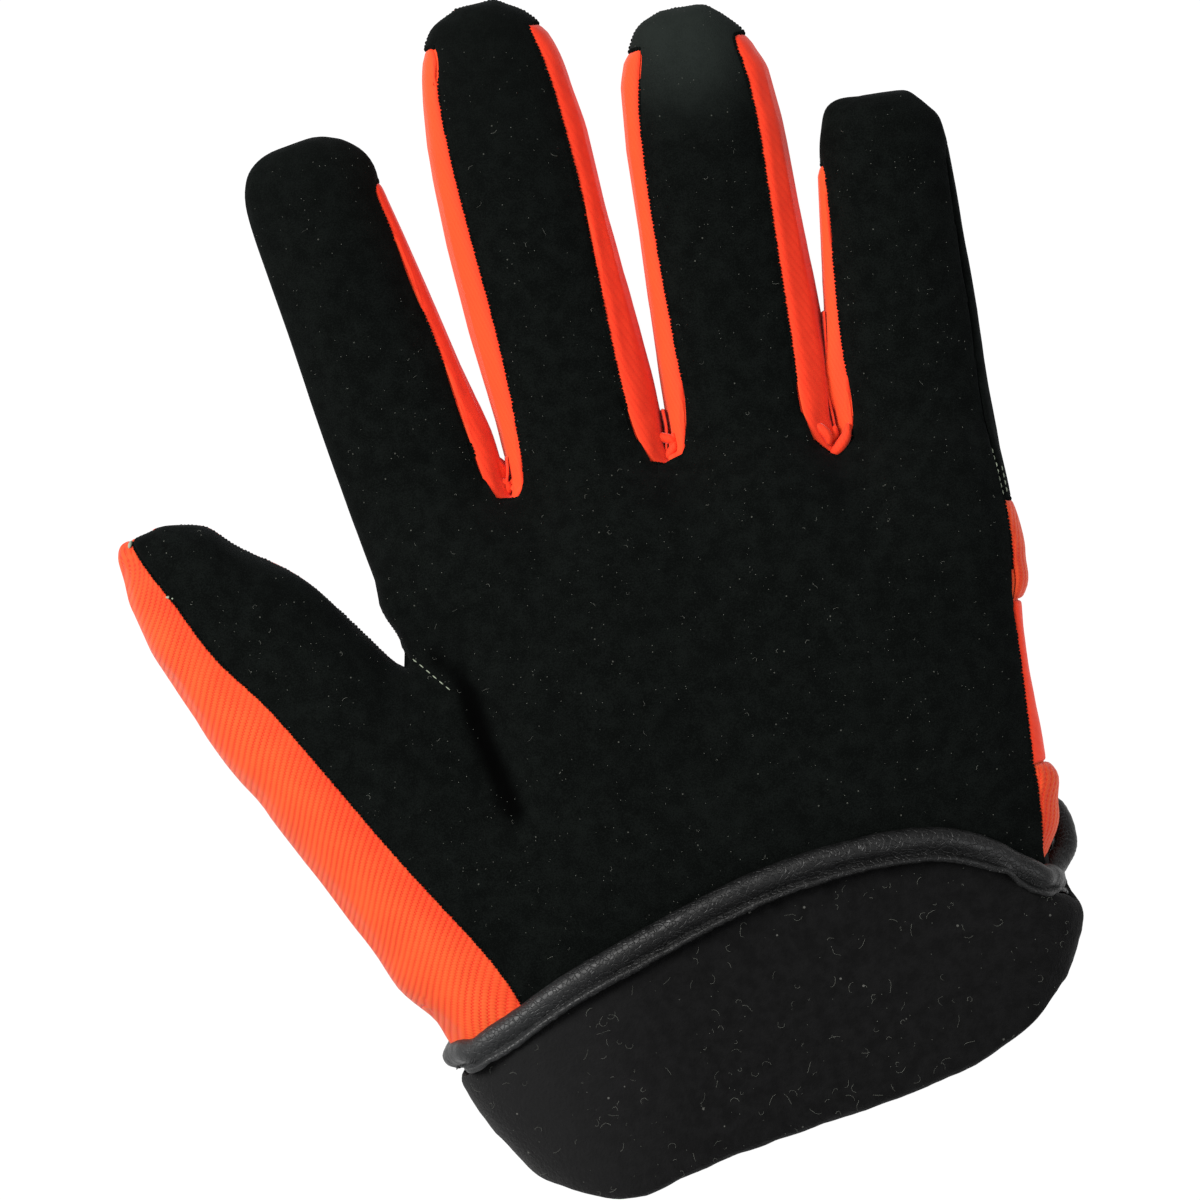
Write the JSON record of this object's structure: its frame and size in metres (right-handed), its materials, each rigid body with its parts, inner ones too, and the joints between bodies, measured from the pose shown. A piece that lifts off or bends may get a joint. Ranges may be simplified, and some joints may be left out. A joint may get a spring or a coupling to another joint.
{
  "type": "work glove",
  "caption": "Left-hand driver's work glove lying palm up, with a suede palm, stretch strips between the fingers and a fleece-lined cuff turned back over the wrist.",
  "frame": {"origin": "middle of the glove's footprint, at the height of the surface that it lies on", "axes": "+Y from the wrist to the fingertips, +X from the thumb side to the little finger's side, +Z out of the palm"},
  "size_m": [0.1678, 0.2224, 0.0357],
  "materials": {
    "black_suede": "short-napped synthetic suede",
    "orange_stretch_cloth": "smooth stretch twill",
    "orange_ribbed_cloth": "ribbed stretch cloth",
    "black_fleece": "brushed fleece",
    "black_binding": "grained coated binding"
  },
  "bodies": {
    "root": {"palm_panel": "black_suede", "fork_index_middle": "orange_stretch_cloth", "fork_middle_ring": "orange_stretch_cloth", "fork_ring_pinky": "orange_stretch_cloth", "thumb_back": "orange_ribbed_cloth", "knuckle_panel": "black_suede", "back_middle": "orange_ribbed_cloth", "back_ring": "orange_ribbed_cloth", "back_upper": "orange_ribbed_cloth", "stretch_band": "orange_stretch_cloth", "back_lower": "orange_ribbed_cloth", "cuff_lining": "black_fleece", "cuff_binding": "black_binding"}
  },
  "joints": []
}
